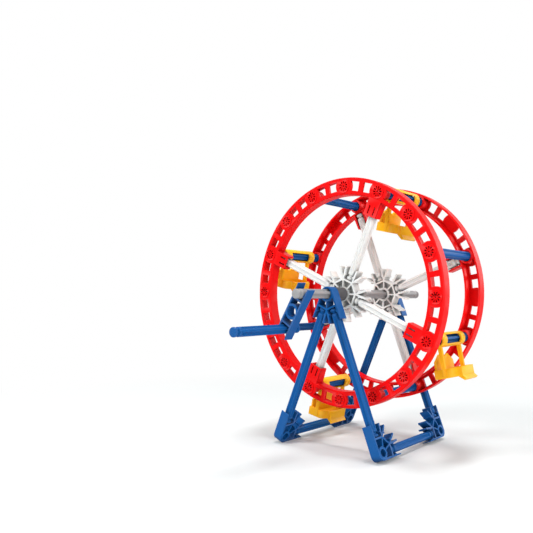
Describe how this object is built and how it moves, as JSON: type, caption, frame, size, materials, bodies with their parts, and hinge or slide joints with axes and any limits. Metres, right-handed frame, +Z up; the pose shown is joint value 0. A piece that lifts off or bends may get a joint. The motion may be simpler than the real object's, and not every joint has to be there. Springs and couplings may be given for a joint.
{
  "type": "building block ferris wheel",
  "caption": "Tabletop ferris wheel of snap-together plastic rods and connectors, on an A-frame stand, turned by a hand crank, with cars that hang from its cross rods.",
  "frame": {"origin": "on the floor, under the middle of the whole toy's bounding box", "axes": "+Z up; the axle runs along Y, with the crank at -Y; +X to the right as seen from the crank's side"},
  "size_m": [0.0962, 0.1086, 0.1084],
  "materials": {
    "red_plastic": "glossy moulded",
    "blue_plastic": "satin gloss moulded",
    "white_plastic": "satin gloss moulded",
    "grey_plastic": "satin gloss moulded",
    "dark_grey_plastic": "satin moulded",
    "yellow_plastic": "satin gloss moulded"
  },
  "bodies": {
    "stand": {"apex_connector_front": "blue_plastic", "apex_connector_rear": "blue_plastic", "leg_front_left": "blue_plastic", "leg_front_right": "blue_plastic", "leg_rear_left": "blue_plastic", "leg_rear_right": "blue_plastic", "foot_connector_front_left": "blue_plastic", "foot_connector_front_right": "blue_plastic", "foot_connector_rear_left": "blue_plastic", "foot_connector_rear_right": "blue_plastic", "base_rod_left": "blue_plastic", "base_rod_right": "blue_plastic"},
    "wheel": {"wheel_rim_front": "red_plastic", "wheel_rim_rear": "red_plastic", "hub_front": "white_plastic", "hub_rear": "white_plastic", "spoke_front_1": "white_plastic", "spoke_front_2": "white_plastic", "spoke_front_3": "white_plastic", "spoke_front_4": "white_plastic", "spoke_rear_1": "white_plastic", "spoke_rear_2": "white_plastic", "spoke_rear_3": "white_plastic", "spoke_rear_4": "white_plastic", "cross_rod_1": "blue_plastic", "cross_rod_2": "blue_plastic", "cross_rod_3": "blue_plastic", "cross_rod_4": "blue_plastic", "cross_rod_5": "blue_plastic", "cross_rod_6": "blue_plastic", "cross_rod_7": "blue_plastic", "cross_rod_8": "blue_plastic", "axle": "grey_plastic", "axle_collar": "dark_grey_plastic", "crank_arm": "blue_plastic", "crank_handle": "blue_plastic"},
    "car_upper": {"car_1": "yellow_plastic"},
    "car_right": {"car_2": "yellow_plastic"},
    "car_lower": {"car_3": "yellow_plastic"},
    "car_left": {"car_4": "yellow_plastic"}
  },
  "joints": [
    {"name": "wheel_spin", "type": "hinge", "parent": "stand", "child": "wheel", "pos_m": [-0.00175, 0.01315, 0.06233], "axis": [0, 1, 0], "continuous": true},
    {"name": "car_upper_swing", "type": "hinge", "parent": "wheel", "child": "car_upper", "pos_m": [0.01494, 0.01315, 0.10164], "axis": [0, 1, 0], "continuous": true},
    {"name": "car_right_swing", "type": "hinge", "parent": "wheel", "child": "car_right", "pos_m": [0.03756, 0.01315, 0.04565], "axis": [0, 1, 0], "continuous": true},
    {"name": "car_lower_swing", "type": "hinge", "parent": "wheel", "child": "car_lower", "pos_m": [-0.01843, 0.01315, 0.02302], "axis": [0, 1, 0], "continuous": true},
    {"name": "car_left_swing", "type": "hinge", "parent": "wheel", "child": "car_left", "pos_m": [-0.04105, 0.01315, 0.07901], "axis": [0, 1, 0], "continuous": true}
  ],
  "couplings": [
    {"joint": "car_upper_swing", "follows": "wheel_spin", "ratio": -1},
    {"joint": "car_right_swing", "follows": "wheel_spin", "ratio": -1},
    {"joint": "car_lower_swing", "follows": "wheel_spin", "ratio": -1},
    {"joint": "car_left_swing", "follows": "wheel_spin", "ratio": -1}
  ]
}
